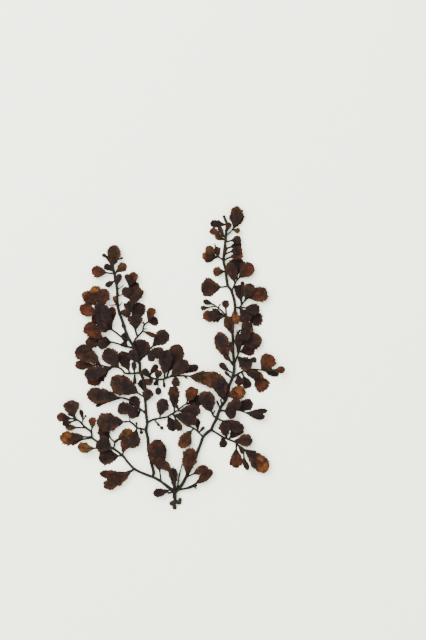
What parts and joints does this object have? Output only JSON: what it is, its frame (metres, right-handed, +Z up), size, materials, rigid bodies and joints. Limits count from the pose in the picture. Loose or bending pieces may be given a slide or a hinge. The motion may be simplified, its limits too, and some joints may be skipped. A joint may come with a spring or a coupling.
{
  "type": "dried seaweed branch",
  "caption": "Flat dried branch of leafy brown seaweed: lobed holdfast, forked stems, side shoots with stalked toothed leaves and small round bladders, to lie on a surface.",
  "frame": {"origin": "middle of the plant's plan outline, on the surface that it lies on", "axes": "+Z up from the surface, +Y from the holdfast towards the shoot tips, +X to the right as seen from above"},
  "size_m": [0.1443, 0.1918, 0.0079],
  "materials": {
    "dried_stem": "dull, wrinkled, near-black brown",
    "dried_blade": "dull dark brown, rust and amber where a single young blade lets light through"
  },
  "bodies": {
    "root": {"holdfast": "dried_stem", "stipe": "dried_blade", "left_branch": "dried_blade", "middle_stem": "dried_blade", "middle_shoot_1": "dried_blade", "middle_shoot_2": "dried_blade", "middle_shoot_3": "dried_blade", "middle_shoot_4": "dried_blade", "middle_shoot_5": "dried_blade", "middle_shoot_6": "dried_blade", "middle_shoot_7": "dried_blade", "middle_shoot_8": "dried_blade", "middle_shoot_9": "dried_blade", "middle_shoot_10": "dried_blade", "right_stem": "dried_blade", "right_shoot_1": "dried_blade", "right_shoot_2": "dried_blade", "right_shoot_3": "dried_blade", "right_shoot_4": "dried_blade", "right_shoot_5": "dried_blade", "right_shoot_6": "dried_blade", "right_shoot_7": "dried_blade", "right_shoot_8": "dried_blade", "right_shoot_9": "dried_blade", "right_shoot_10": "dried_blade"}
  },
  "joints": []
}
